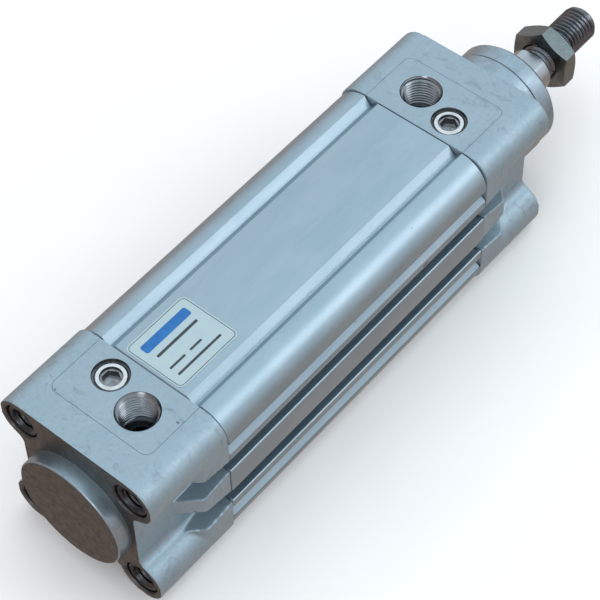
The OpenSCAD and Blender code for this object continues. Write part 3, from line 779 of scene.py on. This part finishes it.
def cushion_screw(name, node):
    """A cushion screw with a bright turned head and a hexagon socket painted dark as shade, on its own body."""
    spot = Vector(JOINTS[node + "_turn"]["pos_m"])

    # faces down in the hexagon socket get the steel painted dark as shade
    def kind(face):
        radius = math.hypot(face.center.x - spot.x, face.center.y - spot.y)
        return int(radius < SOCKET_R and face.center.z < ADJUSTER_TOP - 0.03 * MM)

    solid = modified(name, packed(node), ("BEVEL", {"width": 0.08 * MM, **EDGE_BEVEL}))
    place(name, solid, "bright_steel", node, node,
          materials=(MATERIALS["bright_steel"], SOCKET_PAINTED_SHADE), kind_of=kind)


# ---- print on the label ----
LABEL_LOW, LABEL_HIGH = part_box("label_film")
INK = 0.012 * MM


def slab(low_x, low_y, high_x, high_y, corner):
    """A thin printed patch on the label, in millimetres from the label's middle."""
    corners = [(low_x, low_y), (high_x, low_y), (high_x, high_y), (low_x, high_y)]
    outline = rounded_outline([(x * MM, y * MM, corner * MM, 5) for x, y in corners])
    middle = (LABEL_LOW + LABEL_HIGH) / 2
    rings = [[Vector((middle.x + p.x, p.y, LABEL_HIGH.z + rise)) for p in outline] for rise in (-INK, INK)]
    return mesh_of("slab", *loft(rings, close=True))


def joined(name, meshes):
    """Several separate meshes as one."""
    work = bmesh.new()
    for mesh in meshes:
        work.from_mesh(mesh)
    made = bpy.data.meshes.new(name)
    work.to_mesh(made)
    work.free()
    return made


def label_print():
    """A plain border, a plain blue bar and plain rules: nothing that can be read."""
    x, y, line = 9.45, 8.15, 0.16
    outer = slab(-x, -y, x, y, 1.2)
    inner = slab(-x + line, -y + line, x - line, y - line, 1.05)
    # four times as thick, so that it cuts right through
    inner.transform(Matrix.Translation((0, 0, LABEL_HIGH.z)) @ Matrix.Diagonal((1, 1, 4, 1)) @
                    Matrix.Translation((0, 0, -LABEL_HIGH.z)))
    border = combine("label_border", outer, [inner], "DIFFERENCE")
    bar = slab(-7.4, 3.5, 7.4, 6.1, 0.6)
    rules = joined("label_rules", [slab(-6.6, 1.0, 6.6, 1.75, 0.2), slab(-7.2, -3.25, -2.2, -2.65, 0.2),
                                   slab(-0.6, -3.25, 3.2, -2.65, 0.2), slab(-7.2, -5.75, 6.9, -5.1, 0.2)])
    place("label_border", border, "label", "housing", materials=(INK_DARK,))
    place("label_bar", bar, "label", "housing", materials=(INK_BLUE,))
    place("label_rules", rules, "label", "housing", materials=(INK_DARK,))


place("barrel_extrusion", barrel_extrusion(), "barrel_aluminium", "housing", "barrel")
rear_cap()
front_cap()
rod_piece()
cap_screws("rear_tapped_screws", "rear_cap_screws", X_BACK + 0.1 * MM)
cap_screws("front_tapped_screws", "front_cap_screws", -0.1 * MM, FRONT_CAP)
cushion_screw("front_cushion_screw", "front_adjuster")
cushion_screw("rear_cushion_screw", "rear_adjuster")
label_print()

# ---- the remaining CAD nodes get their materials and small bevels ----
NODE_BEVEL, NUT_BEVEL = 0.12 * MM, 0.28 * MM
for name, node in frame["nodes"].items():
    node.data.materials.clear()
    node.data.materials.append(MATERIALS[SLOT_OF[name]])
    if not node.hide_render:
        edge = node.modifiers.new("edge", "BEVEL")
        edge.width = NUT_BEVEL if name == "rod_nut" else NODE_BEVEL
        edge.segments = 3
        edge.limit_method = "ANGLE"
        edge.angle_limit = math.radians(40)

# ---- stage, lights, camera ----
FLOOR_REACH = 1.5
DOME_AXIS = (0.35, -0.10, 0.93)
DOME_LOW, DOME_SIDE, DOME_TOP = (0.36, 0.30, 0.27, 1), (0.61, 0.64, 0.69, 1), (0.74, 0.89, 0.98, 1)
DOME_STRENGTH = 1.3


def stage_floor():
    """A pale floor just under the object, which reflections don't see."""
    level = CAD_BOX[0].z - 0.02 * MM
    corners = [(x * FLOOR_REACH, y * FLOOR_REACH, level) for x, y in ((-1, -1), (1, -1), (1, 1), (-1, 1))]
    mesh = mesh_of("floor", corners, [(0, 1, 2, 3)])
    s = Surface("floor_paper", 0.0, 0.85)
    cloud = s.noise(s.stretched(1, 1, 1), 0.02, 3)
    s.colour(s.mix(s.spread(cloud, 0.3, 0.7), (0.945, 0.90, 0.87), (0.96, 0.915, 0.885)))
    mesh.materials.append(s.material)
    floor = linked("floor", mesh)
    floor.visible_glossy = False


def soft_light(name, towards, distance, size, power, colour):
    """A square soft box that shines on the middle of the object from the given direction."""
    middle = (CAD_BOX[0] + CAD_BOX[1]) / 2
    data = bpy.data.lights.new(name, "AREA")
    data.shape, data.size, data.energy, data.color = "SQUARE", size, power, colour
    lamp = linked(name, data)
    back = Vector(towards).normalized()
    lamp.location = middle + back * distance
    lamp.rotation_mode = "QUATERNION"
    lamp.rotation_quaternion = (-back).to_track_quat("-Z", "Y")
    return lamp


def world_light():
    """A soft tent of light, bright above the front end and dim low down behind the rear end."""
    world = bpy.data.worlds.new("studio")
    bpy.context.scene.world = world
    world.use_nodes = True
    tree = world.node_tree
    towards = tree.nodes.new("ShaderNodeVectorMath")
    towards.operation = "DOT_PRODUCT"
    towards.inputs[1].default_value = DOME_AXIS
    tree.links.new(tree.nodes.new("ShaderNodeTexCoord").outputs["Generated"], towards.inputs[0])
    ramp = tree.nodes.new("ShaderNodeValToRGB")
    tree.links.new(towards.outputs["Value"], ramp.inputs["Fac"])
    ramp.color_ramp.elements[0].color = DOME_LOW
    ramp.color_ramp.elements[1].color = DOME_TOP
    ramp.color_ramp.elements.new(0.4).color = DOME_SIDE
    background = tree.nodes["Background"]
    background.inputs["Strength"].default_value = DOME_STRENGTH
    tree.links.new(ramp.outputs["Color"], background.inputs["Color"])


CAMERA_AT = Vector((-0.30004, -0.20179, 0.40081))
CAMERA_FORWARD = Vector((0.45668, 0.39748, -0.79590))
CAMERA_UP = Vector((0.61765, 0.50222, 0.60521))
CAMERA_LENS = 126.88


def photo_camera():
    """The camera at the photograph's viewing angle."""
    data = bpy.data.cameras.new("camera")
    data.lens, data.sensor_width = CAMERA_LENS, 36
    data.clip_start, data.clip_end = 0.01, 10
    camera = linked("camera", data)
    right = CAMERA_FORWARD.cross(CAMERA_UP).normalized()
    up = right.cross(CAMERA_FORWARD).normalized()
    axes = Matrix((right, up, -CAMERA_FORWARD.normalized())).transposed().to_4x4()
    camera.matrix_world = Matrix.Translation(CAMERA_AT) @ axes
    bpy.context.scene.camera = camera


stage_floor()
world_light()
soft_light("strip", (0.457, -0.62, 0.63), 1.0, 0.46, 0.92, (0.96, 0.98, 1.0))
soft_light("kicker", (-0.88, -0.37, 0.36), 1.0, 0.4, 1.3, (0.92, 0.97, 1.0))
wash = soft_light("floor_wash", (0.1, 0.3, 1.0), 1.2, 1.5, 4.0, (1.0, 0.95, 0.92))
wash.visible_glossy = False
photo_camera()
bpy.context.scene.view_settings.view_transform = "Standard"
